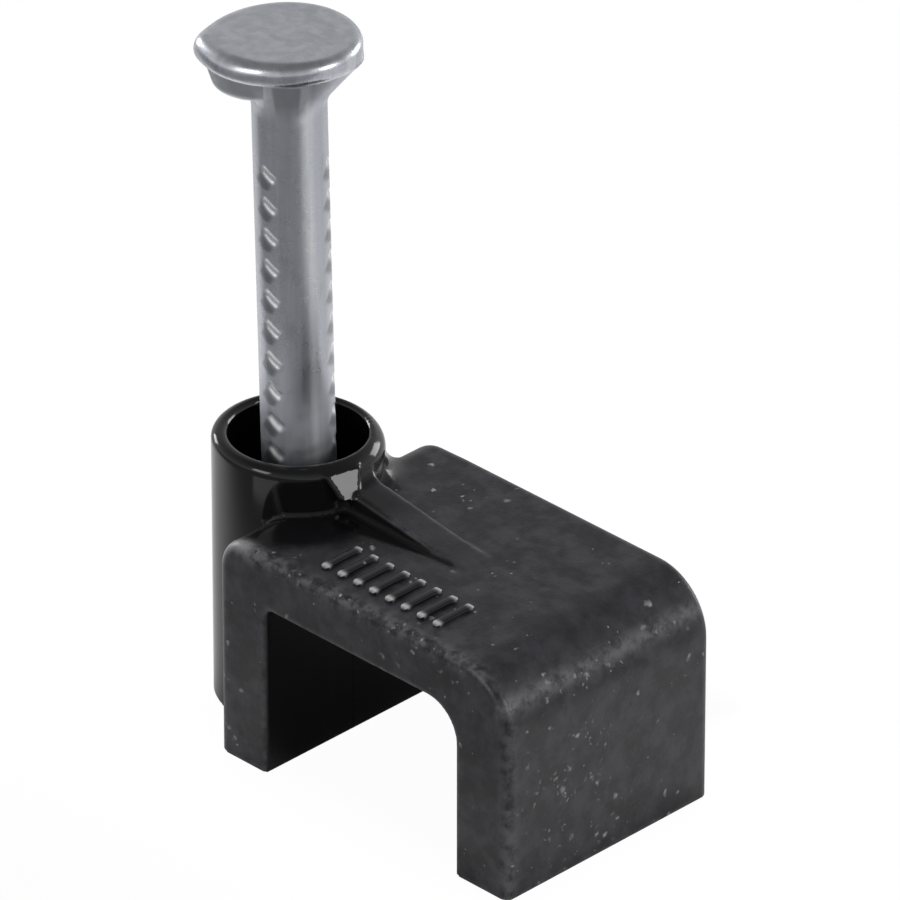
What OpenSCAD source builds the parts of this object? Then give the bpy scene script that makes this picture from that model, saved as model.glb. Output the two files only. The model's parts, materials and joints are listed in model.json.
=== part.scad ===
// Nail-in cable clip: a moulded bridge that holds a flat cable to a wall, with its nail already in place.
// The origin lies on the axis of the nail boss, in the wall plane.
// +X runs across the cable, +Y along the cable and +Z away from the wall. Sizes are in millimetres.

/* [Cable channel] */
// Clear width between the two legs
channel_w = 6; // [4:0.5:12]
// Clear height from the wall to the roof
channel_h = 4.3; // [3:0.1:8]
// Fillet under the roof at the far leg
far_fillet_r = 0.9; // [0.3:0.1:1.4]
// Fillet under the roof at the nail leg
near_fillet_r = 0.2; // [0.1:0.05:0.5]

/* [Bridge] */
// Length along the cable
clip_len = 6.4; // [5:0.1:12]
// Thickness of the roof over the cable
roof_t = 1.35; // [0.9:0.05:3]
// Thickness of the leg beside the nail
near_leg_t = 1.55; // [1:0.05:2.4]
// Thickness of the leg away from the nail
far_leg_t = 1.65; // [1:0.05:3]
// Outer corner radius over the nail leg
near_corner_r = 0.8; // [0.3:0.1:1.5]
// Outer corner radius over the far leg
far_corner_r = 1.5; // [0.3:0.1:2]
// Rounding of the outer edges at both ends
edge_r = 0.22; // [0.05:0.01:0.3]

/* [Nail boss] */
// Diameter of the wide upper hole around the nail
well_d = 3.15; // [2.6:0.05:5]
// Wall of the boss around the upper hole
boss_wall = 0.4; // [0.3:0.05:1]
// Flat left on top of the rim between its two rounded edges
rim_flat = 0.06; // [0.02:0.02:0.1]
// Wall left between the upper hole and the cable channel
web_t = 0.62; // [0.4:0.02:1.5]
// Height of the rim above the roof
boss_rise = 1.15; // [0.8:0.05:3]
// Length of the close hole that grips the nail, from the wall up
grip_len = 3.4; // [1.5:0.1:4.5]

/* [Stiffening rib] */
// Width of the rib that runs from the boss over the roof
rib_w = 0.85; // [0.4:0.05:2]
// Length of the slope from the boss to where the rib dies out
rib_run = 3.7; // [2:0.1:4]
// Drop from the boss rim to the high end of the rib
rib_drop = 0.6; // [0.3:0.05:0.7]

/* [Raised mark] */
// Distance between the bars of the mark
bar_pitch = 0.5; // [0.4:0.05:1]
// Width of one bar
bar_w = 0.22; // [0.1:0.02:0.3]
// Length of one bar
bar_len = 1.2; // [0.5:0.1:1.4]
// Height of one bar above the roof
bar_h = 0.1; // [0.05:0.01:0.2]
// Distance from the front end of the clip to the bars
bar_inset = 0.6; // [0.4:0.05:0.8]
// Roof left plain at each end of the row of bars, measured from the channel's sides
bar_margin = 1; // [0.8:0.1:1.5]

/* [Nail] */
// Length from the point to the top of the head
nail_len = 16.7; // [15:0.1:30]
// Diameter of the shank
shank_d = 1.7; // [1.2:0.05:2]
// Length of the point
point_len = 1.6; // [0.8:0.1:3]
// Diameter of the flat end of the point
point_d = 0.2; // [0.1:0.05:0.4]
// Diameter of the head
head_d = 3.6; // [3.2:0.05:6]
// Thickness of the head, which has a fully round edge
head_t = 0.6; // [0.4:0.02:1]
// Shift of the head off the shank's axis
head_shift = 0.18; // [0:0.01:0.4]
// Direction of that shift, counted from +X towards +Y
head_shift_dir = 217; // [0:1:360]
// Tilt of the crooked head
head_tilt = 3.7; // [0:0.1:8]
// Direction of the head's low side, counted from +X towards +Y
head_tilt_dir = 151; // [0:1:360]
// Height of the cone under the head
flare_h = 0.95; // [0.3:0.05:1.5]
// Diameter of that cone where it meets the head
flare_d = 3.05; // [2.2:0.05:3.2]
// Lean of the nail in its boss
nail_lean = 1; // [0:0.1:1.5]
// Direction of that lean, counted from +X towards +Y
nail_lean_dir = 225; // [0:1:360]

/* [Pressed collar under the head] */
// Diameter of the lopsided collar at its lower edge
collar_d = 2.2; // [2:0.05:2.6]
// How much wider the collar is at the head
collar_taper = 0.7; // [0:0.05:0.8]
// Depth of the collar below the head
collar_h = 0.65; // [0.3:0.05:0.8]
// Shift of the collar off the shank's axis
collar_shift = 0.62; // [0.2:0.02:0.8]
// Direction of that shift, counted from +X towards +Y
collar_dir = 201; // [0:1:360]

/* [Shank notches] */
// Rows of notches around the shank
notch_rows = 3; // [2:1:6]
// Notches in each row
notch_count = 14; // [4:1:14]
// Distance between notches along the shank
notch_pitch = 0.79; // [0.5:0.01:0.85]
// Distance from the underside of the head to the first notch
notch_start = 2.6; // [1.5:0.1:3]
// Depth of a notch
notch_depth = 0.07; // [0.03:0.01:0.12]
// Length of a notch
notch_len = 0.46; // [0.2:0.02:0.6]
// Width of the round tool that pressed the notches
notch_w = 0.26; // [0.15:0.01:0.4]
// Slant of a notch
notch_slant = 35; // [0:5:60]
// Direction of the first row, counted from +X towards +Y
notch_dir = -86; // [-180:1:180]

/* [Fits] */
// Radial clearance of the nail in its close hole
nail_clearance = 0.03; // [0.01:0.01:0.08]
// Gap from the wall plane to the point of the nail before it is driven
point_gap = 0.15; // [0.05:0.05:1]

/* [Hidden] */
$fn = 64;

// How far one shape runs into the next, and how far a cutter runs past a face
sink = 0.1;
past = 1;

// Boss, seen from its own axis
well_r = well_d / 2;
boss_r = well_r + boss_wall;
lip_r = (boss_wall - rim_flat) / 2;

// Bridge, from the nail side to the far side and from the wall up
near_inner_x = well_r + web_t;
near_outer_x = near_inner_x - near_leg_t;
far_inner_x = near_inner_x + channel_w;
far_outer_x = far_inner_x + far_leg_t;
near_centre_x = near_outer_x + near_corner_r;
far_centre_x = far_outer_x - far_corner_r;
clip_h = channel_h + roof_t;
rim_h = clip_h + boss_rise;
grip_d = shank_d + 2 * nail_clearance;

// Nail, measured along its own axis from the wall plane
head_top = point_gap + nail_len;
head_under = head_top - head_t;
shank_r = shank_d / 2;
bar_count = round((channel_w - 2 * bar_margin) / bar_pitch);

// Section across the clip's length: flat at both ends, with the two outer edges rounded
module edge_section(depth) {
    translate([0, -clip_len / 2])
        square([depth - edge_r, clip_len]);
    translate([0, edge_r - clip_len / 2])
        square([depth, clip_len - 2 * edge_r]);
    for (end = [-1, 1])
        translate([depth - edge_r, end * (clip_len / 2 - edge_r)])
            circle(edge_r);
}

// Outer quarter turn of the bridge, from direction start to start + 90 seen along the cable
module corner(x, r, start) {
    translate([x, 0, clip_h - r])
        rotate([90, 0, 0])
            rotate([0, 0, start])
                rotate_extrude(angle = 90)
                    edge_section(r);
}

// Solid block with the bridge's outer form
module bridge_block() {
    translate([far_centre_x, 0, 0])
        rotate([0, -90, 0])
            linear_extrude(far_centre_x - near_centre_x)
                edge_section(clip_h);
    translate([far_centre_x, 0, 0])
        linear_extrude(clip_h - far_corner_r)
            edge_section(far_corner_r);
    translate([near_centre_x, 0, 0])
        mirror([1, 0, 0])
            linear_extrude(clip_h - near_corner_r)
                edge_section(near_corner_r);
    corner(far_centre_x, far_corner_r, 0);
    corner(near_centre_x, near_corner_r, 90);
}

// What a fillet of radius r leaves in the corner of a square
module fillet_waste(r) {
    difference() {
        square(r + sink);
        circle(r);
    }
}

// Space for the cable, open at both ends and towards the wall
module channel() {
    rotate([90, 0, 0])
        linear_extrude(clip_len + 2 * past, center = true)
            difference() {
                translate([near_inner_x, -past])
                    square([channel_w, channel_h + past]);
                translate([far_inner_x - far_fillet_r, channel_h - far_fillet_r])
                    fillet_waste(far_fillet_r);
                translate([near_inner_x + near_fillet_r, channel_h - near_fillet_r])
                    mirror([1, 0])
                        fillet_waste(near_fillet_r);
            }
}

// Round boss with the outer edge of its rim rounded
module boss() {
    rotate_extrude() {
        square([boss_r, rim_h - lip_r]);
        square([boss_r - lip_r, rim_h]);
        translate([boss_r - lip_r, rim_h - lip_r])
            circle(lip_r);
    }
}

// Wide upper hole, with the inner edge of the rim rounded
module well() {
    rotate_extrude() {
        translate([0, grip_len])
            square([well_r, rim_h - grip_len + past]);
        translate([well_r, rim_h - lip_r])
            difference() {
                translate([-sink, 0])
                    square([lip_r + sink, lip_r + past]);
                translate([lip_r, 0])
                    circle(lip_r);
            }
    }
}

// Wedge from the boss over the roof
module rib() {
    top = rim_h - rib_drop;
    end = boss_r + rib_run;
    rotate([90, 0, 0])
        linear_extrude(rib_w, center = true)
            polygon([
                [0, clip_h - sink],
                [end, clip_h - sink],
                [end, clip_h],
                [boss_r, top],
                [0, top],
            ]);
}

// Row of plain raised bars near the front end, centred over the channel
module mark() {
    first = (near_inner_x + far_inner_x) / 2 - (bar_count - 1) * bar_pitch / 2;
    for (i = [0 : bar_count - 1])
        translate([first + i * bar_pitch - bar_w / 2, bar_inset - clip_len / 2, clip_h - sink])
            cube([bar_w, bar_len, sink + bar_h]);
}

// Tips what follows by an angle towards a direction seen from above
module tip(angle, direction) {
    rotate(a = angle, v = [-sin(direction), cos(direction), 0])
        children();
}

// Moves what follows off the axis in a direction seen from above
module shift(distance, direction) {
    translate([distance * cos(direction), distance * sin(direction), 0])
        children();
}

// The nail leans about the point where its axis crosses the middle of the boss's rim
module lean() {
    translate([0, 0, rim_h])
        tip(nail_lean, nail_lean_dir)
            translate([0, 0, -rim_h])
                children();
}

// Moulded in one piece: bridge, boss, rib and mark, with the two holes for the nail
module clip_body() {
    color("#3a3a3d")
        difference() {
            union() {
                bridge_block();
                boss();
                rib();
                mark();
            }
            channel();
            well();
            lean()
                translate([0, 0, -past])
                    cylinder(h = grip_len + 2 * past, d = grip_d);
        }
}

// Flat head with a fully round edge, crooked on the shank as it was struck
module nail_head() {
    edge = head_t / 2;
    translate([0, 0, head_under])
        tip(head_tilt, head_tilt_dir) {
            shift(head_shift, head_shift_dir)
                rotate_extrude() {
                    square([head_d / 2 - edge, head_t]);
                    translate([head_d / 2 - edge, edge])
                        intersection() {
                            circle(edge);
                            translate([0, -edge])
                                square([edge, head_t]);
                        }
                }
            shift(collar_shift, collar_dir)
                translate([0, 0, -collar_h])
                    cylinder(h = collar_h + edge, d1 = collar_d, d2 = collar_d + collar_taper);
        }
}

// Slanting notches pressed into the shank in rows
module notches() {
    for (row = [0 : notch_rows - 1])
        rotate([0, 0, notch_dir + row * 360 / notch_rows])
            for (i = [0 : notch_count - 1])
                translate([shank_r - notch_depth + notch_w / 2, 0, head_under - notch_start - i * notch_pitch])
                    rotate([90 - notch_slant, 0, 0])
                        cylinder(h = notch_len, d = notch_w, center = true);
}

// Headed from steel wire: point, shank, cone and head
module nail() {
    color("#a3a7ad")
        lean()
            difference() {
                union() {
                    translate([0, 0, point_gap])
                        cylinder(h = point_len, d1 = point_d, d2 = shank_d);
                    translate([0, 0, point_gap + point_len])
                        cylinder(h = nail_len - point_len - head_t / 2, d = shank_d);
                    translate([0, 0, head_under - flare_h])
                        cylinder(h = flare_h, d1 = shank_d, d2 = flare_d);
                    nail_head();
                }
                notches();
            }
}

clip_body();
nail();
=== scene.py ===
import json
import math

import bpy
import numpy as np
from mathutils import Matrix, Vector


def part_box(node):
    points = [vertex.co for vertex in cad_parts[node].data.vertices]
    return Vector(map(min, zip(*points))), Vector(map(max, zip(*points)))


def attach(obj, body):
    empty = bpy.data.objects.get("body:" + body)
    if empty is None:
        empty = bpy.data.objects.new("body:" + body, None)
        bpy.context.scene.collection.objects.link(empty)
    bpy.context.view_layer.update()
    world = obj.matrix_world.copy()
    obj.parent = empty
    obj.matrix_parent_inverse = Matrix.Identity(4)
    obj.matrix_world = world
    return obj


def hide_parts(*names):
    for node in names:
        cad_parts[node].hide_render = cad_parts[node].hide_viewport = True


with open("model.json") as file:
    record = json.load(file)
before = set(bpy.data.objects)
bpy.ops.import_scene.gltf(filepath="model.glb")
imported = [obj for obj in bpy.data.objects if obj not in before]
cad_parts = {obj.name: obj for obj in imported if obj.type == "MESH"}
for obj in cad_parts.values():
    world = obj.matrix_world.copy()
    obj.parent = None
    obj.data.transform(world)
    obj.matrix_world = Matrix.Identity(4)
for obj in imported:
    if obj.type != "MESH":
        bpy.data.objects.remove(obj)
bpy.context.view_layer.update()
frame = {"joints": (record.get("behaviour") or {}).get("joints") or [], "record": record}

# The clip body: one black injection moulding. A bridge with two legs straddles the cable, a round boss beside
# it carries the nail, and a wedge-shaped rib ties the boss to the roof. All edges are soft from the mould.
MM = 0.001
clip_low, clip_high = (np.array(corner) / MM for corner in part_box("clip_body"))
mounts = {mount["name"]: mount for mount in frame["record"]["mounts"]}
nail_drive = frame["joints"][0]
nail_up = -np.array(nail_drive["axis"])

boss_r = -clip_low[0]
boss_wall = 0.4
rim_h = clip_high[2]
half_len = clip_high[1]
far_outer_x = clip_high[0]
far_leg_t = 1.65
near_leg_t = 1.55
roof_t = 1.35
channel_w = 6.0
channel_h = mounts["cable_seat"]["pos_m"][2] / MM
far_inner_x = far_outer_x - far_leg_t
near_inner_x = far_inner_x - channel_w
near_outer_x = near_inner_x - near_leg_t
clip_h = channel_h + roof_t
well_r = boss_r - boss_wall
well_floor = 3.4
bore_r = 0.88

near_corner_r = 0.8
far_corner_r = 1.5
near_fillet_r = 0.2
far_fillet_r = 0.9
edge_r = 0.22
near_edge_r = 0.3
channel_edge_r = 0.1
foot_r = 0.04
rim_outer_r = 0.20
rim_extra_r = 0.3
rim_roundest = math.radians(75)
rim_inner_r = 0.17
boss_back_blend_r = 0.6

rib_half_w = 0.44
rib_drop = 0.6
rib_len = 3.7
rib_root = 0.5
rib_top = rim_h - rib_drop
rib_end = boss_r + rib_len
rib_edge_r = 0.1
rib_blend_r = 0.3
rib_foot_r = 0.05
rib_back_foot_r = 0.25

gusset_drop = 0.15
gusset_h = 0.62
gusset_top = rim_h - gusset_drop
gusset_half_w = 0.50
gusset_taper = 0.42
gusset_sunk = 0.02
gusset_root = 0.3
gusset_edge_r = 0.09
gusset_foot_r = 0.05
gusset_bearing = math.radians(-13)
gusset_slope = math.radians(30.5)


def both(a, b, r):
    """Distance to what two shapes share, with the edge between them rounded to r."""
    return np.minimum(np.maximum(a, b), -r) + np.hypot(np.maximum(a + r, 0), np.maximum(b + r, 0))


def either(a, b, r):
    """Distance to two shapes together, with a fillet of r where they meet."""
    return np.maximum(np.minimum(a, b), r) - np.hypot(np.maximum(r - a, 0), np.maximum(r - b, 0))


def fade(value, start, width):
    """0 up to start, then a straight rise to 1 over this width."""
    return np.clip((value - start) / width, 0, 1)


def peak(value, middle, width):
    """1 at the middle, falling off softly on both sides."""
    return np.exp(-((value - middle) / width) ** 2)


def arch(x, z, near, far, top, near_r, far_r):
    """Distance to an endless upright panel with two rounded upper corners."""
    r = np.where(x < (near + far) / 2, near_r, far_r)
    side = np.abs(x - (near + far) / 2) - (far - near) / 2 + r
    over = z - top + r
    return np.minimum(np.maximum(side, over), 0) + np.hypot(np.maximum(side, 0), np.maximum(over, 0)) - r


def off_nail_axis(x, y, z):
    """Distance from the line along which the nail is driven."""
    p = np.stack([x, y, z - rim_h], -1)
    along = p @ nail_up
    return np.linalg.norm(p - along[..., None] * nail_up, axis=-1)


def clip_distance(x, y, z):
    """Distance to the moulding without its raised bars, below zero inside it."""
    bridge = arch(x, z, near_outer_x, far_outer_x, clip_h, near_corner_r, far_corner_r)
    toward_near = fade(near_inner_x - x, 0, near_inner_x - near_outer_x)
    bridge = both(bridge, np.abs(y) - half_len, edge_r + (near_edge_r - edge_r) * toward_near)
    around = np.hypot(x, y)
    rounder = np.clip(0.55 + 0.6 * np.cos(np.arctan2(y, x) - rim_roundest), 0, 1)
    boss = both(around - boss_r, z - rim_h, rim_outer_r + rim_extra_r * rounder)

    run, rise = rib_end - boss_r, rib_top - clip_h
    slope = ((x - boss_r) * rise + (z - rib_top) * run) / math.hypot(run, rise)
    rib = both(slope, np.abs(y) - rib_half_w, rib_edge_r)
    rib = np.maximum(rib, np.maximum(-x, clip_h - rib_root - z))
    at_back = fade(y, 0, 0.3) * fade(boss_r + 1.5 - x, 0, 0.9)
    foot_blend_r = rib_foot_r + (rib_back_foot_r - rib_foot_r) * at_back
    behind_rib = fade(y, 0.2, 0.9) * fade(x, near_outer_x, 0.4)
    beside_rib = (1 - fade(np.abs(y), rib_half_w, 0.4)) * fade(z, clip_h, 0.5) * (x > 0)
    blend_r = np.maximum(boss_back_blend_r * behind_rib, rib_blend_r * beside_rib)
    body = either(either(bridge, rib, foot_blend_r), boss, blend_r)

    # The gusset is the small bright facet between the rib and the boss rim.
    outward = x * math.cos(gusset_bearing) + y * math.sin(gusset_bearing) - boss_r + gusset_sunk
    aside = np.abs(y * math.cos(gusset_bearing) - x * math.sin(gusset_bearing))
    gusset = outward * math.cos(gusset_slope) + (z - gusset_top) * math.sin(gusset_slope)
    gusset = both(gusset, aside - gusset_half_w + gusset_taper * (gusset_top - z), gusset_edge_r)
    gusset_ends = np.maximum(z - gusset_top, np.maximum(gusset_top - gusset_h - z, -outward - gusset_root))
    body = either(body, np.maximum(gusset, gusset_ends), gusset_foot_r)

    channel = arch(x, z, near_inner_x, far_inner_x, channel_h, near_fillet_r, far_fillet_r)
    body = both(body, -channel, channel_edge_r)
    well = both(around - well_r, well_floor - z, foot_r)
    body = both(body, -well, rim_inner_r)
    body = both(body, bore_r - off_nail_axis(x, y, z), foot_r)
    return both(body, -z, foot_r)


def grid_lines(*stops):
    """Grid places from the first stop to the last: each stop is where a stretch starts and its spacing."""
    runs = [
        np.linspace(start, end, max(1, round((end - start) / step)), endpoint=False)
        for (start, step), (end, _) in zip(stops, stops[1:])
    ]
    return np.concatenate(runs + [[stops[-1][0]]])


def slide_to_surface(distance, points, passes=4, reach=0.002, longest=0.05):
    """Moves points onto the surface, by no more than the longest step in each pass."""
    for _ in range(passes):
        slope = np.stack([
            distance(*(points + step).T) - distance(*(points - step).T) for step in np.eye(3) * reach
        ], 1) / (2 * reach)
        slope /= np.maximum(np.linalg.norm(slope, axis=1, keepdims=True), 1e-6)
        points = points - np.clip(distance(*points.T), -longest, longest)[:, None] * slope
    return points


def skin(distance, xs, ys, zs, even_passes=5):
    """Closed mesh of quads where a distance is zero, with one point in each grid cell that it crosses.
    A few passes then even out the quads along the surface."""
    axes = (xs, ys, zs)
    value = distance(*np.meshgrid(xs, ys, zs, indexing="ij"))
    inside = value < 0
    corners = [(i, j, k) for i in (0, 1) for j in (0, 1) for k in (0, 1)]

    def cell(a, at):
        return a[tuple(slice(o, o + n - 1) for o, n in zip(at, a.shape))]

    count = sum(cell(inside, at).astype(int) for at in corners)
    crossed = (count > 0) & (count < len(corners))
    number = np.full(crossed.shape, -1)
    number[crossed] = np.arange(crossed.sum())
    where = np.argwhere(crossed)
    total, hits = np.zeros((len(where), 3)), np.zeros(len(where))
    for at in corners:
        for axis in range(3):
            if at[axis]:
                continue
            to = tuple(o + (n == axis) for n, o in enumerate(at))
            a, b = cell(value, at)[crossed], cell(value, to)[crossed]
            cuts = (a < 0) != (b < 0)
            share = np.where(cuts, a / np.where(cuts, a - b, 1), 0)
            ends = [np.stack([axes[n][where[:, n] + o[n]] for n in range(3)], 1) for o in (at, to)]
            total += np.where(cuts[:, None], ends[0] + share[:, None] * (ends[1] - ends[0]), 0)
            hits += cuts
    points = total / hits[:, None]
    quads = []
    for axis in range(3):
        turn = [(axis + n) % 3 for n in range(3)]
        solid, cells = inside.transpose(turn), number.transpose(turn)
        a, b = solid[:-1, 1:-1, 1:-1], solid[1:, 1:-1, 1:-1]
        i, j, k = np.nonzero(a != b)
        ring = np.stack([cells[i, j, k], cells[i, j + 1, k], cells[i, j + 1, k + 1], cells[i, j, k + 1]], 1)
        out = a[i, j, k]
        quads += [ring[out], ring[~out][:, ::-1]]
    quads = np.concatenate(quads)
    starts, ends = quads.ravel(), np.roll(quads, -1, 1).ravel()
    share = np.bincount(starts)[:, None]
    for _ in range(even_passes):
        points = slide_to_surface(distance, points)
        points = np.stack([np.bincount(starts, points[ends, n]) for n in range(3)], 1) / share
    return slide_to_surface(distance, points), quads


def plain_mesh(name, points, faces):
    """Object at the origin from points in millimetres."""
    mesh = bpy.data.meshes.new(name)
    mesh.from_pydata(points * MM, [], faces.tolist())
    mesh.shade_smooth()
    piece = bpy.data.objects.new(name, mesh)
    bpy.context.scene.collection.objects.link(piece)
    return piece


clip_xs = grid_lines((-2.1, 0.07), (2.3, 0.1), (8.1, 0.07), (9.95, 0))
clip_ys = grid_lines((-3.3, 0.055), (-2.9, 0.07), (2.9, 0.055), (3.3, 0))
clip_zs = grid_lines((-0.1, 0.055), (0.3, 0.1), (3.2, 0.07), (5.4, 0.055), (6.9, 0))
clip = plain_mesh("clip", *skin(clip_distance, clip_xs, clip_ys, clip_zs))


def put(tree, kind, feeds=None, **settings):
    """Adds a node with these settings, and feeds its inputs from other nodes' outputs or plain values."""
    node = tree.nodes.new(kind)
    for name, value in settings.items():
        setattr(node, name, value)
    for key, source in (feeds or {}).items():
        if isinstance(source, bpy.types.NodeSocket):
            tree.links.new(source, node.inputs[key])
        else:
            node.inputs[key].default_value = source
    return node


def calc(tree, operation, *values):
    """Result of one Math node."""
    return put(tree, "ShaderNodeMath", dict(enumerate(values)), operation=operation).outputs[0]


def ramp(tree, value, start, end, low=0.0, high=1.0, kind="SMOOTHSTEP"):
    """Goes from low at start to high at end, and stays there beyond."""
    return put(tree, "ShaderNodeMapRange", {
        "Value": value, "From Min": start, "From Max": end, "To Min": low, "To Max": high,
    }, interpolation_type=kind).outputs[0]


def new_tree(name, inputs):
    """Geometry Nodes tree with a geometry input, the named inputs and a geometry output."""
    tree = bpy.data.node_groups.new(name, "GeometryNodeTree")
    for label, kind in [("Geometry", "Geometry")] + inputs:
        tree.interface.new_socket(label, in_out="INPUT", socket_type="NodeSocket" + kind)
    tree.interface.new_socket("Geometry", in_out="OUTPUT", socket_type="NodeSocketGeometry")
    return tree, tree.nodes.new("NodeGroupInput").outputs


def end_tree(tree, geometry, material):
    """Closes a tree: real geometry with its material on."""
    real = put(tree, "GeometryNodeRealizeInstances", {"Geometry": geometry})
    coated = put(tree, "GeometryNodeSetMaterial", {"Geometry": real.outputs[0], "Material": material})
    put(tree, "NodeGroupOutput", {"Geometry": coated.outputs[0]})


def run_tree(piece, tree, values):
    """Runs a tree on a piece with the named values, and leaves the result as the piece's own plain mesh."""
    modifier = piece.modifiers.new(tree.name, "NODES")
    modifier.node_group = tree
    for item in tree.interface.items_tree:
        if item.in_out == "INPUT" and item.name in values:
            modifier[item.identifier] = values[item.name]
    bpy.context.view_layer.update()
    made = bpy.data.meshes.new_from_object(piece.evaluated_get(bpy.context.evaluated_depsgraph_get()))
    piece.modifiers.remove(modifier)
    piece.data = made


def places(piece):
    """The piece's points in millimetres."""
    flat = np.empty(len(piece.data.vertices) * 3, np.float32)
    piece.data.vertices.foreach_get("co", flat)
    return flat.reshape(-1, 3).astype(float) / MM


def store(piece, name, values):
    """Keeps one number for each point, which a material reads by name."""
    attribute = piece.data.attributes.new(name, "FLOAT", "POINT")
    attribute.data.foreach_set("value", values.astype(np.float32))


bar_count = 8
bar_pitch = 0.5
bar_w = 0.22
bar_len = 1.2
bar_h = 0.1
bar_edge_r = 0.05
bar_front = 0.6 - half_len
bar_first_x = (near_inner_x + far_inner_x - (bar_count - 1) * bar_pitch) / 2
sharp_angle = math.radians(50)

clip_plastic = bpy.data.materials.new("clip_plastic")
raised_bars, given = new_tree("raised_bars", [
    ("Count", "Int"), ("Pitch", "Vector"), ("First Bar", "Vector"), ("Run", "Vector"), ("Width", "Float"),
    ("Depth", "Float"), ("Edge", "Float"), ("Material", "Material"),
])
spine = put(raised_bars, "GeometryNodeCurvePrimitiveLine", {"End": given["Run"]})
spine = put(raised_bars, "GeometryNodeResampleCurve", {"Curve": spine.outputs[0], "Count": 33})
along = put(raised_bars, "GeometryNodeSplineParameter").outputs["Factor"]
off_middle = calc(raised_bars, "ABSOLUTE", calc(raised_bars, "SUBTRACT", along, 0.5))
into_end = ramp(raised_bars, off_middle, 0.42, 0.5, 0.0, 0.97, "LINEAR")
square = calc(raised_bars, "MULTIPLY", into_end, into_end)
thick = calc(raised_bars, "SQRT", calc(raised_bars, "SUBTRACT", 1.0, square))
section = put(raised_bars, "GeometryNodeCurvePrimitiveQuadrilateral", {
    "Width": given["Width"], "Height": given["Depth"],
}, mode="RECTANGLE")
section = put(raised_bars, "GeometryNodeFilletCurve", {
    "Curve": section.outputs[0], "Count": 4, "Radius": given["Edge"], "Limit Radius": True,
}, mode="POLY")
bar = put(raised_bars, "GeometryNodeCurveToMesh", {
    "Curve": spine.outputs[0], "Profile Curve": section.outputs[0], "Scale": thick, "Fill Caps": True,
})
row = put(raised_bars, "GeometryNodeMeshLine", {
    "Count": given["Count"], "Start Location": given["First Bar"], "Offset": given["Pitch"],
}, mode="OFFSET")
bars = put(raised_bars, "GeometryNodeInstanceOnPoints", {"Points": row.outputs[0], "Instance": bar.outputs[0]})
bars = put(raised_bars, "GeometryNodeRealizeInstances", {"Geometry": bars.outputs[0]})
fused = put(raised_bars, "GeometryNodeMeshBoolean", operation="UNION", solver="EXACT")
raised_bars.links.new(given["Geometry"], fused.inputs["Mesh 2"])
raised_bars.links.new(bars.outputs[0], fused.inputs["Mesh 2"])
end_tree(raised_bars, fused.outputs["Mesh"], given["Material"])
run_tree(clip, raised_bars, {
    "Count": bar_count,
    "Pitch": (bar_pitch * MM, 0, 0),
    "First Bar": (bar_first_x * MM, bar_front * MM, clip_h * MM),
    "Run": (0, bar_len * MM, 0),
    "Width": bar_w * MM,
    "Depth": 2 * bar_h * MM,
    "Edge": bar_edge_r * MM,
    "Material": clip_plastic,
})
clip.data.set_sharp_from_angle(angle=sharp_angle)

# Where the plastic differs, point by point. Edge and crease: how sharply it bends outward or inward.
spots = places(clip)
x, y, z = spots.T
reach = 0.12
off_clip = clip_distance(*spots.T)
bend = sum(clip_distance(*(spots + step).T) + clip_distance(*(spots - step).T) for step in np.eye(3) * reach)
bend = (bend - 6 * off_clip) / reach ** 2
from_boss = np.hypot(x, y) - boss_r
at_foot = (from_boss < 0.25) & (y < 0.5)
at_foot |= (np.abs(y + rib_half_w) < 0.14) & (x > 0) & (x < rib_end - 0.3)
store(clip, "edge", fade(bend, 0.9, 3.0))
# Painted shade: the crease at the foot of the boss and the rib is coloured near-black.
store(clip, "crease_shade", fade(-bend, 1, 1) * (z > clip_h - 0.1) * (z < clip_h + 0.25) * at_foot)

# Polish: the glossy boss and the roof round its foot, the flanks of the rib with a strip before them, the gusset
# and the raised bars. Polished places are coloured plain black, so on the roof round the boss foot and on the strip
# before the flanks that black is also painted shade of the boss and the rib.
round_boss_foot = np.maximum(from_boss - 1.1, np.maximum(y, near_outer_x + 0.4 - x))
polished_shaded_roof = 0.75 * (1 - fade(round_boss_foot, 0, 0.5)) * (z > clip_h - 0.05)
below_rib_top = rib_top - (x - boss_r) * (rib_top - clip_h) / (rib_end - boss_r) - z
on_flank = fade(below_rib_top, 0.03, 0.08) * (np.abs(np.abs(y) - rib_half_w) < 0.16)
on_flank *= (z > clip_h + 0.015) * (x > 0) * (x < rib_end)
on_gusset = (1 - fade(from_boss, 0.35, 0.08)) * (below_rib_top < -0.02) * (z > clip_h + 0.3)
rib_rise = fade(rib_end - x, 0, rib_end - boss_r) * (rib_top - clip_h)
before_flank_shade = (1 - fade(-y, rib_half_w + 1.2 * rib_rise, 0.2)) * fade(rib_rise, 0, 0.15)
before_flank_shade *= (y < -rib_half_w) * (x > 0) * (z < clip_h + 0.05)
on_bars = off_clip > 0.008
store(clip, "polish_and_shade", np.maximum.reduce([
    1 - fade(from_boss, 0.05, 0.2), polished_shaded_roof, on_flank, on_gusset, before_flank_shade, 0.85 * on_bars,
]))

# Inside: the walls of the channel, coloured near-black as painted shade. Hazy: the dull film on the rib's top
# and over the far shoulder.
in_channel = arch(x, z, near_inner_x, far_inner_x, channel_h, near_fillet_r, far_fillet_r)
store(clip, "inside", (1 - fade(in_channel, 0.01, 0.02)) * (np.abs(y) < half_len - 0.02))
on_rib_top = (1 - fade(below_rib_top, 0.01, 0.05)) * (np.abs(y) < rib_half_w) * (x > boss_r) * (x < rib_end)
lean_out = np.degrees(np.arctan2(z - clip_h + far_corner_r, x - far_outer_x + far_corner_r))
over_shoulder = fade(lean_out, 36, 14) * (1 - fade(lean_out, 80, 14)) * (x > far_outer_x - far_corner_r)
store(clip, "hazy", np.maximum(0.9 * on_rib_top * (from_boss > 0.3), 0.6 * over_shoulder))
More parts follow.
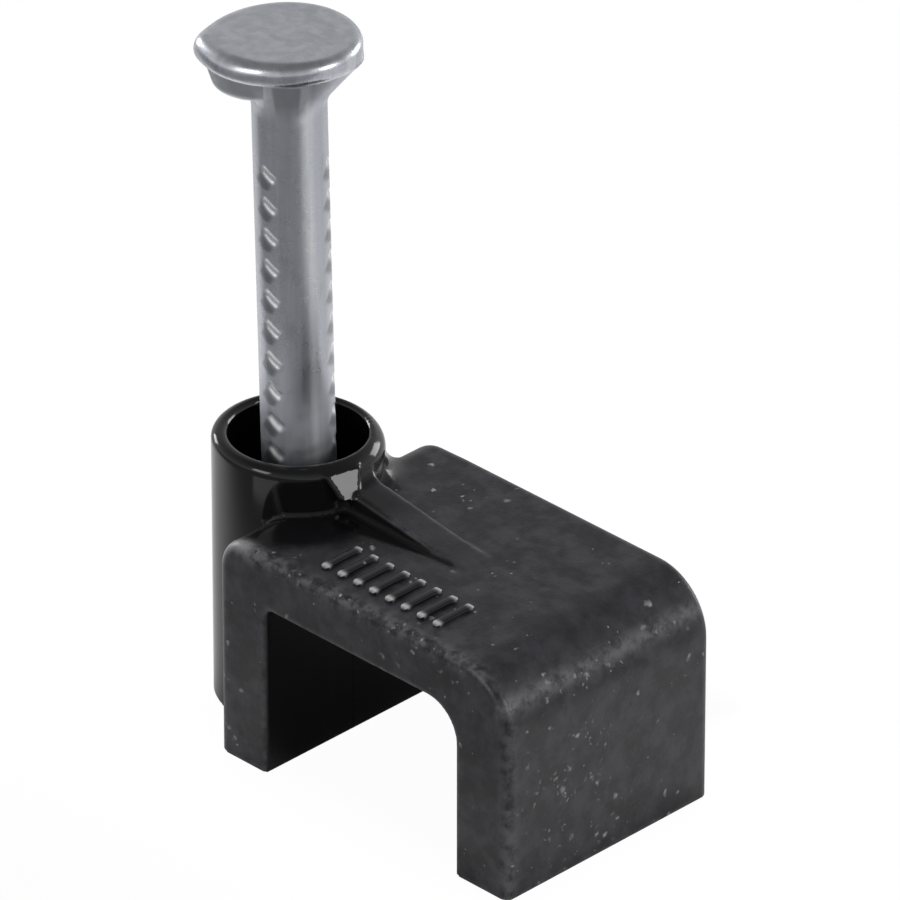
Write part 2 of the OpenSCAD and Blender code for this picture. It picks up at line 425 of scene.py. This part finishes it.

# Rubbed: edges worn grey in handling. Shoulder: a lighter blotchy band over the far shoulder, with a painted
# highlight down the far front edge. Painted highlights in pale grey also sit on the ends of the bars and on an arc
# at the near corner.
front_top = peak(np.hypot(y + half_len - 0.05, z - clip_h + 0.05), 0, 0.25)
front_top *= 1 + 0.8 * peak(x, near_outer_x + 0.9, 0.6)
front_near = peak(x, near_outer_x + 0.12, 0.16) * (y < 0.3 - half_len) * (z < clip_h - near_corner_r)
knock = np.linalg.norm(spots - (far_outer_x - 0.2, 0.35 - half_len, clip_h - 0.75), axis=1)
rubbed = np.maximum(front_top, 0.5 * front_near) * (x > near_outer_x)
rubbed = np.maximum(rubbed, 1.6 * peak(knock, 0, 0.2))
store(clip, "rubbed", rubbed)
shoulder = peak(lean_out, 30, 8) * (x > far_outer_x - 0.4)
# Painted highlight: a pale strip down the far front edge.
front_far_glint = peak(np.hypot(y + half_len - 0.08, x - far_outer_x + 0.05), 0, 0.2) * (z < clip_h - 0.6)
store(clip, "shoulder", np.maximum(shoulder, 0.8 * front_far_glint))
# Painted highlights: pale spots on the ends of the bars and along an arc at the near corner.
bar_end_glints = np.minimum(np.abs(y - bar_front - 0.07), np.abs(y - bar_front - bar_len + 0.07))
bar_end_glints = on_bars * peak(bar_end_glints, 0, 0.075) * (z > clip_h + 0.05)
across, over = x - near_outer_x - near_corner_r, z - clip_h + near_corner_r
corner_glint = peak(np.hypot(across, over), 0.74, 0.12) * peak(y, 0.17 - half_len, 0.17)
corner_glint *= (1 - fade(across, -0.05, 0.4)) * fade(over, -0.1, 0.3)
store(clip, "painted_glint", np.maximum(bar_end_glints, 0.6 * corner_glint))

# Dusty: how thick the pale specks lie, mostly in a cloud on the far leg and along the rubbed edges.
in_cloud = peak(y, -1.3, 1.5) * peak(z, 2.3, 1.8) * (x > far_outer_x - 0.2)
dusty = 0.05 + 0.95 * in_cloud + 0.22 * np.minimum(rubbed, 1) + 0.02 * (y < 0.02 - half_len)
store(clip, "dusty", np.clip(dusty, 0, 1))


def chain(tree, operation, *values):
    """Takes several values through one operation, one after the other."""
    total = values[0]
    for value in values[1:]:
        total = calc(tree, operation, total, value)
    return total


def times(tree, *values):
    """Product of several values."""
    return chain(tree, "MULTIPLY", *values)


def between(tree, share, under, over):
    """Number that goes from under to over."""
    return put(tree, "ShaderNodeMix", {"Factor": share, "A": under, "B": over}, data_type="FLOAT").outputs[0]


def blend(tree, share, under, over):
    """Colour that goes from under to over."""
    node = put(tree, "ShaderNodeMix", {"Factor": share}, data_type="RGBA")
    for socket, colour in ((node.inputs[6], under), (node.inputs[7], over)):
        if isinstance(colour, bpy.types.NodeSocket):
            tree.links.new(colour, socket)
        else:
            socket.default_value = (*colour, 1)
    return node.outputs[2]


def noise(tree, at, scale, detail=3.0, rough=0.5):
    """Soft random pattern around one half."""
    return put(tree, "ShaderNodeTexNoise", {
        "Vector": at, "Scale": scale, "Detail": detail, "Roughness": rough,
    }).outputs["Fac"]


def millimetres(tree, stretch=(1, 1, 1), turn=(0, 0, 0)):
    """Object coordinates in millimetres, stretched and turned for a pattern."""
    at = put(tree, "ShaderNodeTexCoord").outputs["Object"]
    return put(tree, "ShaderNodeMapping", {
        "Vector": at, "Scale": tuple(s / MM for s in stretch), "Rotation": turn,
    }, vector_type="POINT").outputs[0]


def read(tree, name):
    """Number that was stored for each point."""
    return put(tree, "ShaderNodeAttribute", attribute_name=name).outputs["Fac"]


def specks(tree, at, scale, size, share):
    """Scattered dots: one in some of the cells, of mixed sizes."""
    cells = put(tree, "ShaderNodeTexVoronoi", {"Vector": at, "Scale": scale})
    draw = put(tree, "ShaderNodeSeparateColor", {"Color": cells.outputs["Color"]})
    chosen = calc(tree, "LESS_THAN", draw.outputs[0], share)
    radius = ramp(tree, draw.outputs[1], 0.0, 1.0, size * 0.5, size, "LINEAR")
    core = ramp(tree, calc(tree, "DIVIDE", cells.outputs["Distance"], radius), 0.3, 1.0, 1.0, 0.0)
    return times(tree, core, chosen)


moulded_black = (0.0040, 0.0038, 0.0048)
film_black = (0.0150, 0.0138, 0.0186)
cloud_grey = (0.035, 0.033, 0.0395)
haze_grey = (0.031, 0.029, 0.036)
gloss_and_shade_black = (0.0040, 0.0039, 0.0045)
worn_and_glint_grey = (0.105, 0.104, 0.109)
painted_shade_black = (0.0012, 0.0012, 0.0013)
glint_white = (0.42, 0.42, 0.425)
dust_white = (0.36, 0.36, 0.365)
gloss_rough = 0.1
inside_rough = 0.4
crease_rough = 0.7
dust_rough = 0.85
ripple_size = 0.22

clip_plastic.use_nodes = True
plastic = clip_plastic.node_tree
plastic_shader = plastic.nodes["Principled BSDF"]
at = millimetres(plastic)
ripple = put(plastic, "ShaderNodeTexNoise", {"Vector": at, "Scale": 6.0, "Detail": 2.0}).outputs["Color"]
wavy = put(plastic, "ShaderNodeVectorMath", {
    0: ripple, 1: (ripple_size, ripple_size, ripple_size), 2: at,
}, operation="MULTIPLY_ADD").outputs[0]
mottle = noise(plastic, at, 1.7, 5.0, 0.62)
grain = noise(plastic, at, 16.0, 4.0, 0.6)
blotch = noise(plastic, at, 3.2, 6.0, 0.68)
polish_and_shade = read(plastic, "polish_and_shade")
inside = read(plastic, "inside")
in_crease_shade = read(plastic, "crease_shade")
dull = calc(plastic, "SUBTRACT", 1.0, polish_and_shade)

rub = times(plastic, read(plastic, "rubbed"), ramp(plastic, blotch, 0.40, 0.62))
# The shoulder value also holds the painted highlight down the far front edge.
shoulder_band_and_glint = times(plastic, read(plastic, "shoulder"), ramp(plastic, blotch, 0.34, 0.62))
bright_edge = times(plastic, read(plastic, "edge"), ramp(plastic, blotch, 0.35, 0.75), 0.6)
worn_and_glint = times(plastic, chain(plastic, "MAXIMUM", rub, shoulder_band_and_glint, bright_edge), dull)

clusters = times(plastic, ramp(plastic, noise(plastic, at, 0.9, 2.0), 0.42, 0.6), 1.3)
clusters = calc(plastic, "ADD", 0.3, clusters)
dusty = times(plastic, read(plastic, "dusty"), dull, clusters, calc(plastic, "SUBTRACT", 1.0, inside))
coarse_dust = specks(plastic, wavy, 3.0, 0.40, times(plastic, dusty, 0.8))
middle_dust = specks(plastic, wavy, 4.6, 0.46, times(plastic, dusty, 0.8))
fine_dust = specks(plastic, wavy, 8.0, 0.46, times(plastic, dusty, 0.5))
dust = chain(plastic, "MAXIMUM", coarse_dust, middle_dust, fine_dust)
dust_tone = times(plastic, ramp(plastic, noise(plastic, at, 5.0, 1.0), 0.35, 0.7), 0.6)
dust = times(plastic, dust, calc(plastic, "ADD", 0.4, dust_tone))

film = times(plastic, dull, ramp(plastic, blotch, 0.36, 0.68))
cloud = times(plastic, dull, ramp(plastic, mottle, 0.40, 0.66))
black = blend(plastic, film, moulded_black, film_black)
for share, colour in (
    (times(plastic, cloud, 0.75), cloud_grey),
    (times(plastic, read(plastic, "hazy"), 0.6), haze_grey),
    # Painted shade too: the roof round the boss foot and the strip before the rib's flanks go plain black.
    (polish_and_shade, gloss_and_shade_black),
    # Grey wear on the edges, with the painted highlight down the far front edge.
    (times(plastic, worn_and_glint, 0.85), worn_and_glint_grey),
    # Painted shade: the channel's walls and the creases at the foot of the boss and rib go near-black.
    (calc(plastic, "MAXIMUM", inside, in_crease_shade), painted_shade_black),
    # Painted highlights on the bar ends and the near corner.
    (read(plastic, "painted_glint"), glint_white),
    (times(plastic, dust, 0.8), dust_white),
):
    black = blend(plastic, share, black, colour)
plastic.links.new(black, plastic_shader.inputs["Base Color"])
rough = ramp(plastic, blotch, 0.3, 0.7, 0.30, 0.44, "LINEAR")
for share, roughness in (
    (polish_and_shade, gloss_rough), (inside, inside_rough), (in_crease_shade, crease_rough), (dust, dust_rough),
):
    rough = between(plastic, share, rough, roughness)
plastic.links.new(rough, plastic_shader.inputs["Roughness"])
relief = chain(
    plastic, "ADD",
    times(plastic, grain, dull), times(plastic, dust, 1.2), times(plastic, blotch, dull, 0.8),
)
bump = put(plastic, "ShaderNodeBump", {"Height": relief, "Strength": 0.35, "Distance": 0.015 * MM})
plastic.links.new(bump.outputs[0], plastic_shader.inputs["Normal"])

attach(clip, "clip")
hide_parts("clip_body")

# The nail: drawn steel wire with a point cut on one end and a head struck on the other, then zinc plated. The
# strike left the head crooked over a lopsided collar, and the gripping jaws left rows of notches in the shank.
shank_r = 0.85
point_z = 0.15
point_half = 0.1
point_len = 1.6
point_edge_r = 0.05
tip_edge_r = 0.03
jaw_dir = math.radians(45)
head_r = 1.80
head_t = 0.588
head_under = 16.28
head_top_edge_r = 0.28
head_top_edge_change = 0.052
head_under_edge_r = 0.27
head_under_edge_change = 0.02
head_fillet_r = 0.15
head_shift = (-0.110, -0.075)
head_tilt = math.radians(2.62)
head_tilt_dir = math.radians(129.4)
ear_len = 0.115
ear_spread = 15
flare_h = 0.924
flare_side = 0.75
flare_front = 0.26
flare_change = 0.06
flare_foot_r = 0.13
collar_r = 1.080
collar_widening = 0.243
collar_h = 0.775
collar_edge_r = 0.12
collar_foot_r = 0.05
collar_into_head = 0.06
collar_shift = (-0.706, -0.147)
head_turn = np.array(Matrix.Rotation(head_tilt, 3, (-math.sin(head_tilt_dir), math.cos(head_tilt_dir), 0)))


def nail_distance(x, y, z):
    """Distance to the upright nail without its notches, below zero inside it."""
    around = np.hypot(x, y)
    slope = (shank_r - point_half) / point_len
    facets = np.maximum(np.abs(x + y), np.abs(x - y)) / math.sqrt(2)
    point = (facets - point_half - (z - point_z) * slope) / math.hypot(1, slope)
    shank = both(both(around - shank_r, point, point_edge_r), point_z - z, tip_edge_r)

    hx, hy, hz = np.moveaxis(np.stack([x, y, z - head_under], -1) @ head_turn, -1, 0)
    sideways = np.cos(np.arctan2(y, x) - jaw_dir)
    widen = (flare_front + (flare_side - flare_front) * sideways ** 2 + flare_change * sideways) / flare_h
    flare = (around - shank_r - (z - head_under + flare_h) * widen) / np.hypot(1, widen)
    flare = np.maximum(flare, head_under - 1.5 * flare_h - z)
    body = either(shank, flare, flare_foot_r)
    from_collar = np.hypot(hx - collar_shift[0], hy - collar_shift[1])
    collar = from_collar - collar_r - (hz + collar_h) / collar_h * collar_widening
    collar = both(collar, -collar_h - hz, collar_edge_r)
    body = np.maximum(either(body, collar, collar_foot_r), hz - collar_into_head)

    # The rim isn't quite round, and an ear stands out of it on one side.
    from_head = np.hypot(hx - head_shift[0], hy - head_shift[1])
    bearing = np.arctan2(hy - head_shift[1], hx - head_shift[0])
    uneven_r = head_r + 0.007 * np.cos(2 * bearing) + 0.021 * np.sin(2 * bearing) + 0.03 * np.cos(3 * bearing)
    toward_jaw = np.cos(bearing - jaw_dir)
    off_ear = np.degrees(np.arccos(np.clip(-toward_jaw, -1, 1)))
    uneven_r = uneven_r + ear_len * peak(off_ear, 0, ear_spread)
    head = both(from_head - uneven_r, hz - head_t, head_top_edge_r - head_top_edge_change * toward_jaw)
    head = both(head, -hz, head_under_edge_r + head_under_edge_change * toward_jaw)
    return either(body, head, head_fillet_r)


nail_span = grid_lines((-2.3, 0.05), (2.3, 0))
nail_zs = grid_lines((0.05, 0.06), (2.0, 0.12), (5.2, 0.045), (15.0, 0.05), (17.3, 0))
nail = plain_mesh("nail_plated", *skin(nail_distance, nail_span, nail_span, nail_zs))

notch_rows = 3.0
notch_first = math.radians(-81)
notch_count = 14.0
notch_pitch = 0.79
notch_drop = 2.6
notch_depth = 0.045
notch_half_len = 0.23
notch_half_w = 0.13
notch_slant = math.radians(35)
shank_slack = 0.01

nail_zinc = bpy.data.materials.new("nail_zinc")
grip_notches, given = new_tree("grip_notches", [
    ("Rows", "Float"), ("First Row", "Float"), ("Count", "Float"), ("Pitch", "Float"), ("Top", "Float"),
    ("Depth", "Float"), ("Half Length", "Float"), ("Half Width", "Float"), ("Slant", "Float"),
    ("Shank Radius", "Float"), ("Material", "Material"),
])


def notch_calc(operation, *values):
    """Result of one Math node of the notches."""
    return calc(grip_notches, operation, *values)


where = put(grip_notches, "GeometryNodeInputPosition").outputs[0]
axes = put(grip_notches, "ShaderNodeSeparateXYZ", {0: where}).outputs
bearing = notch_calc("SUBTRACT", notch_calc("ARCTAN2", axes[1], axes[0]), given["First Row"])
sector = notch_calc("DIVIDE", 2 * math.pi, given["Rows"])
half_sector = notch_calc("MULTIPLY", sector, 0.5)
off_row = notch_calc("WRAP", bearing, half_sector, notch_calc("MULTIPLY", half_sector, -1.0))
across = notch_calc("MULTIPLY", off_row, given["Shank Radius"])
below_top = notch_calc("SUBTRACT", given["Top"], axes[2])
step_no = notch_calc("ROUND", notch_calc("DIVIDE", below_top, given["Pitch"]))
last_step = notch_calc("SUBTRACT", given["Count"], 1.0)
step_no = notch_calc("MINIMUM", notch_calc("MAXIMUM", step_no, 0.0), last_step)
above_top = notch_calc("SUBTRACT", axes[2], given["Top"])
rise = notch_calc("ADD", above_top, notch_calc("MULTIPLY", step_no, given["Pitch"]))
slant_cos, slant_sin = notch_calc("COSINE", given["Slant"]), notch_calc("SINE", given["Slant"])
length_way = notch_calc(
    "SUBTRACT", notch_calc("MULTIPLY", across, slant_cos), notch_calc("MULTIPLY", rise, slant_sin)
)
width_way = notch_calc(
    "ADD", notch_calc("MULTIPLY", across, slant_sin), notch_calc("MULTIPLY", rise, slant_cos)
)
in_length = notch_calc("DIVIDE", notch_calc("ABSOLUTE", length_way), given["Half Length"])
in_length = ramp(grip_notches, in_length, 0.7, 1.15, 1.0, 0.0)
in_width = notch_calc("DIVIDE", notch_calc("ABSOLUTE", width_way), given["Half Width"])
in_width = ramp(grip_notches, in_width, 0.15, 1.1, 1.0, 0.0)
# Painted shade: a dark patch just below each notch.
below_notch = notch_calc("ADD", width_way, notch_calc("MULTIPLY", given["Half Width"], 2.2))
in_notch_shade = notch_calc("DIVIDE", notch_calc("ABSOLUTE", below_notch), given["Half Width"])
in_notch_shade = ramp(grip_notches, in_notch_shade, 0.4, 1.6, 1.0, 0.0)
x_squared, y_squared = (notch_calc("MULTIPLY", axes[n], axes[n]) for n in (0, 1))
off_axis = notch_calc("SQRT", notch_calc("ADD", x_squared, y_squared))
on_shank = notch_calc("COMPARE", off_axis, given["Shank Radius"], shank_slack * MM)
press = notch_calc("MULTIPLY", in_length, in_width)
press = notch_calc("MULTIPLY", press, notch_calc("MULTIPLY", on_shank, given["Depth"]))
flat = put(grip_notches, "ShaderNodeCombineXYZ", {0: axes[0], 1: axes[1]}).outputs[0]
outward = put(grip_notches, "ShaderNodeVectorMath", {0: flat}, operation="NORMALIZE").outputs[0]
inward = put(grip_notches, "ShaderNodeVectorMath", {
    0: outward, "Scale": notch_calc("MULTIPLY", press, -1.0),
}, operation="SCALE").outputs[0]
pressed = given["Geometry"]
# Painted highlight in each notch and painted shade below it, for the zinc's colour.
for name, value in (
    ("notch", notch_calc("DIVIDE", press, given["Depth"])),
    ("notch_shade", notch_calc("MULTIPLY", notch_calc("MULTIPLY", in_length, in_notch_shade), on_shank)),
):
    pressed = put(grip_notches, "GeometryNodeStoreNamedAttribute", {
        "Geometry": pressed, "Name": name, "Value": value,
    }, data_type="FLOAT", domain="POINT").outputs[0]
pressed = put(grip_notches, "GeometryNodeSetPosition", {"Geometry": pressed, "Offset": inward})
end_tree(grip_notches, pressed.outputs[0], given["Material"])
run_tree(nail, grip_notches, {
    "Rows": notch_rows,
    "First Row": notch_first,
    "Count": notch_count,
    "Pitch": notch_pitch * MM,
    "Top": (head_under - notch_drop) * MM,
    "Depth": notch_depth * MM,
    "Half Length": notch_half_len * MM,
    "Half Width": notch_half_w * MM,
    "Slant": notch_slant,
    "Shank Radius": shank_r * MM,
    "Material": nail_zinc,
})

# Where the zinc differs: a darker patch on the neck, a bright and two dull lines along the shank that are painted
# reflections, the collar with painted shade on its face and a painted highlight on its lower edge, and the rougher
# ends where the wire was struck or rubbed in the boss.
spots = places(nail)
x, y, z = spots.T
below_head = head_under - z
bearing = np.degrees(np.arctan2(y, x))
# A darker patch on the front of the neck, just under the head.
neck_patch = fade(bearing, -66, 3) * (1 - fade(bearing, -31, 3))
neck_patch *= fade(below_head, 0.18, 0.06) * (1 - fade(below_head, 0.75, 0.5))
store(nail, "neck_patch", neck_patch)
on_shank = fade(below_head, 0.3, 0.6)
# Painted reflections: a bright line and two dull lines along the shank.
store(nail, "bright_reflection_line", on_shank * peak(bearing, -17, 7))
store(nail, "dull_reflection_line", on_shank * np.maximum(peak(bearing, 8, 9), 0.25 * peak(bearing, -38, 7)))
from_collar = np.hypot(x - collar_shift[0], y - collar_shift[1])
on_collar = (below_head > 0.05) * (below_head < collar_h + 0.1) * (from_collar > collar_r - 0.1)
on_collar = on_collar * (x * math.cos(jaw_dir) + y * math.sin(jaw_dir) < -0.55)
# Painted shade on the collar's face and a painted highlight on its lower edge.
store(nail, "collar", on_collar * (1 - fade(below_head, collar_h - 0.22, 0.08)))
store(nail, "collar_edge_glint", on_collar * fade(below_head, collar_h - 0.16, 0.06))
under_head = fade(below_head, -0.1, 0.1) * (1 - fade(below_head, 0.7, 0.5))
store(nail, "forged", np.maximum(under_head, 1.3 * (1 - fade(z, rim_h + 0.6, 1.2))))
pivot = Matrix.Translation((0, 0, rim_h * MM))
nail_lean = Vector((0, 0, 1)).rotation_difference(Vector(nail_up)).to_matrix().to_4x4()
nail.data.transform(pivot @ nail_lean @ pivot.inverted())

zinc_dark = (0.565, 0.588, 0.638)
zinc_light = (0.70, 0.722, 0.775)
smear_grey = (0.46, 0.47, 0.505)
reflection_bright_zinc = (0.86, 0.87, 0.89)
reflection_dull_zinc = (0.44, 0.45, 0.475)
notch_shade_grey = (0.20, 0.205, 0.215)
notch_white = (0.94, 0.95, 0.96)
neck_patch_grey = (0.30, 0.31, 0.33)
collar_shade_grey = (0.33, 0.34, 0.36)
collar_glint_white = (0.85, 0.86, 0.88)

nail_zinc.use_nodes = True
zinc = nail_zinc.node_tree
zinc_shader = zinc.nodes["Principled BSDF"]
zinc_shader.inputs["Metallic"].default_value = 1.0
at = millimetres(zinc)
drawn = noise(zinc, millimetres(zinc, (3.2, 3.2, 0.1)), 1.0, 4.0, 0.55)
fine = noise(zinc, millimetres(zinc, (10, 10, 0.3)), 1.0, 1.0, 0.5)
smear = noise(zinc, millimetres(zinc, (0.7, 2.6, 1.0), (0, 0, math.radians(40))), 1.0, 4.0, 0.6)
spangle = noise(zinc, at, 3.4, 5.0, 0.6)
streaky = ramp(zinc, drawn, 0.25, 0.55)
grey = blend(zinc, ramp(zinc, drawn, 0.3, 0.7), zinc_dark, zinc_light)
for share, colour in (
    (times(zinc, ramp(zinc, smear, 0.54, 0.70), 0.5), smear_grey),
    # Painted reflection lines along the shank.
    (times(zinc, read(zinc, "bright_reflection_line"), streaky, 0.7), reflection_bright_zinc),
    (times(zinc, read(zinc, "dull_reflection_line"), streaky, 0.6), reflection_dull_zinc),
    # Painted shade below the notches and painted highlights in them.
    (times(zinc, read(zinc, "notch_shade"), 0.7), notch_shade_grey),
    (read(zinc, "notch"), notch_white),
    (times(zinc, read(zinc, "neck_patch"), 0.75), neck_patch_grey),
    # Painted shade on the collar, and a painted highlight on its lower edge.
    (times(zinc, read(zinc, "collar"), 0.7), collar_shade_grey),
    (times(zinc, read(zinc, "collar_edge_glint"), 0.8), collar_glint_white),
):
    grey = blend(zinc, share, grey, colour)
zinc.links.new(grey, zinc_shader.inputs["Base Color"])
satin = ramp(zinc, spangle, 0.3, 0.7, 0.24, 0.34, "LINEAR")
satin = calc(zinc, "ADD", satin, times(zinc, read(zinc, "forged"), 0.22))
zinc.links.new(satin, zinc_shader.inputs["Roughness"])
dents = noise(zinc, at, 2.6, 1.0, 0.5)
lines = calc(zinc, "ADD", fine, times(zinc, dents, 1.5))
bump = put(zinc, "ShaderNodeBump", {"Height": lines, "Strength": 0.10, "Distance": 0.003 * MM})
zinc.links.new(bump.outputs[0], zinc_shader.inputs["Normal"])

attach(nail, "nail")
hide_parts("nail")

# The table: a plain paper sheet that shows as the white ground, with the clip's soft shadow on it. What the boss and
# the nail mirror of it is graded: greyer in front, with one light strip there, and dark under the bridge.
view_bearing = math.radians(-44.92)
grey_bearing = view_bearing - math.radians(40)
table_half = 1.5
sheet_shades = [(shade, shade, shade) for shade in (0.86, 0.90)]
far_grey = (0.66, 0.66, 0.66)
front_grey = (0.24, 0.24, 0.245)
strip_white = (0.95, 0.95, 0.95)
bridge_shade = (0.05, 0.05, 0.05)
seen_white = 0.95
mirrored_white = 0.02
white_strength = 1.025

table_mesh = bpy.data.meshes.new("table")
table_corners = [(sx * table_half, sy * table_half, 0) for sx, sy in ((-1, -1), (1, -1), (1, 1), (-1, 1))]
table_mesh.from_pydata(table_corners, [], [(0, 1, 2, 3)])
table = bpy.data.objects.new("table", table_mesh)
bpy.context.scene.collection.objects.link(table)
table_white = bpy.data.materials.new("table_white")
table_white.use_nodes = True
sheet = table_white.node_tree
sheet.nodes.remove(sheet.nodes["Principled BSDF"])
at = millimetres(sheet)
spot = put(sheet, "ShaderNodeSeparateXYZ", {0: at}).outputs


def patch(middle, x_edge, y_edge):
    """Soft rectangle on the sheet: each edge is how far from the middle it ends and how far out it is full."""
    off_middle = [calc(sheet, "ABSOLUTE", calc(sheet, "SUBTRACT", spot[n], middle[n])) for n in (0, 1)]
    return times(sheet, ramp(sheet, off_middle[0], *x_edge), ramp(sheet, off_middle[1], *y_edge))


outward = put(sheet, "ShaderNodeVectorMath", {0: at}, operation="LENGTH").outputs["Value"]
toward_grey = put(sheet, "ShaderNodeVectorMath", {
    0: at, 1: (math.cos(grey_bearing), math.sin(grey_bearing), 0),
}, operation="DOT_PRODUCT").outputs["Value"]
paper = blend(sheet, noise(sheet, at, 0.05, 2.0), *sheet_shades)
for share, colour in (
    (ramp(sheet, outward, 13.0, 25.0), far_grey),
    (ramp(sheet, toward_grey, 3.0, 11.0), front_grey),
    (patch((1.2, -12.7), (4.2, 3.4), (1.0, 0.7)), strip_white),
    (patch((5.0, 2.0), (3.4, 2.4), (5.2, 4.0)), bridge_shade),
):
    paper = blend(sheet, share, paper, colour)
rays = put(sheet, "ShaderNodeLightPath").outputs
seen = calc(sheet, "ADD", rays["Is Camera Ray"], rays["Is Transmission Ray"])
mirrored = times(sheet, rays["Is Glossy Ray"], mirrored_white)
white_share = calc(sheet, "ADD", times(sheet, seen, seen_white), mirrored)
matt_white = put(sheet, "ShaderNodeBsdfDiffuse", {"Color": paper})
glow = put(sheet, "ShaderNodeEmission", {"Color": (1, 1, 1, 1), "Strength": white_strength})
mixed = put(sheet, "ShaderNodeMixShader", {0: white_share, 1: matt_white.outputs[0], 2: glow.outputs[0]})
sheet.links.new(mixed.outputs[0], sheet.nodes["Material Output"].inputs["Surface"])
table_mesh.materials.append(table_white)

# The light: an even white room that darkens upward, and five soft boxes. One hangs overhead and isn't mirrored, two
# stand low behind the clip for the bright rims, and two stand in front of it.
room_low = 0.72
room_high = 0.20
room = bpy.data.worlds.new("room")
bpy.context.scene.world = room
room.use_nodes = True
sky = room.node_tree
rays = put(sky, "ShaderNodeLightPath").outputs
upward = put(sky, "ShaderNodeSeparateXYZ", {0: put(sky, "ShaderNodeTexCoord").outputs["Generated"]}).outputs[2]
wall = ramp(sky, upward, 0.0, 0.85, room_low, room_high, "LINEAR")
strength = between(sky, rays["Is Camera Ray"], wall, 1.0)
sky.nodes["Background"].inputs["Color"].default_value = (1, 1, 1, 1)
sky.links.new(strength, sky.nodes["Background"].inputs["Strength"])

clip_middle = Vector((3.8, 0, 6)) * MM


def soft_box(name, right_of_camera, height, distance, size, power):
    """Square lamp that faces the clip, placed by its angles seen from the clip."""
    bearing = view_bearing + math.radians(right_of_camera)
    up = math.radians(height)
    toward = Vector((math.cos(bearing) * math.cos(up), math.sin(bearing) * math.cos(up), math.sin(up)))
    lamp = bpy.data.lights.new(name, "AREA")
    lamp.shape = "SQUARE"
    lamp.size = size
    lamp.energy = power
    box = bpy.data.objects.new(name, lamp)
    facing = toward.to_track_quat("Z", "Y").to_matrix().to_4x4()
    box.matrix_world = Matrix.Translation(clip_middle + toward * distance) @ facing
    bpy.context.scene.collection.objects.link(box)
    return box


overhead = soft_box("overhead_box", 180, 80, 0.30, 0.10, 0.40)
overhead.visible_glossy = False
soft_box("left_rear_box", -138, 13, 0.30, 0.08, 0.12)
soft_box("right_rear_box", 128, 9, 0.30, 0.11, 0.15)
soft_box("left_front_box", -48, 26, 0.40, 0.15, 0.26)
soft_box("right_front_box", 62, 24, 0.40, 0.14, 0.32)

# The camera: a long lens at the photograph's angle, 30 degrees above the table and 45 degrees off the cable, so that
# the boss stands on the left and the open end of the channel faces the viewer.
camera_height = math.radians(30.37)
camera_place = Vector((167.57, -162.28, 142.90)) * MM
back = Vector((
    math.cos(view_bearing) * math.cos(camera_height),
    math.sin(view_bearing) * math.cos(camera_height),
    math.sin(camera_height),
))
right = Vector((-math.sin(view_bearing), math.cos(view_bearing), 0))
camera_data = bpy.data.cameras.new("camera")
camera_data.lens = 480
camera_data.sensor_width = 36
camera_data.clip_start = 0.01
camera = bpy.data.objects.new("camera", camera_data)
camera_turn = Matrix((right, back.cross(right), back)).transposed().to_4x4()
camera.matrix_world = Matrix.Translation(camera_place) @ camera_turn
bpy.context.scene.collection.objects.link(camera)
bpy.context.scene.camera = camera
bpy.context.scene.view_settings.view_transform = "Standard"
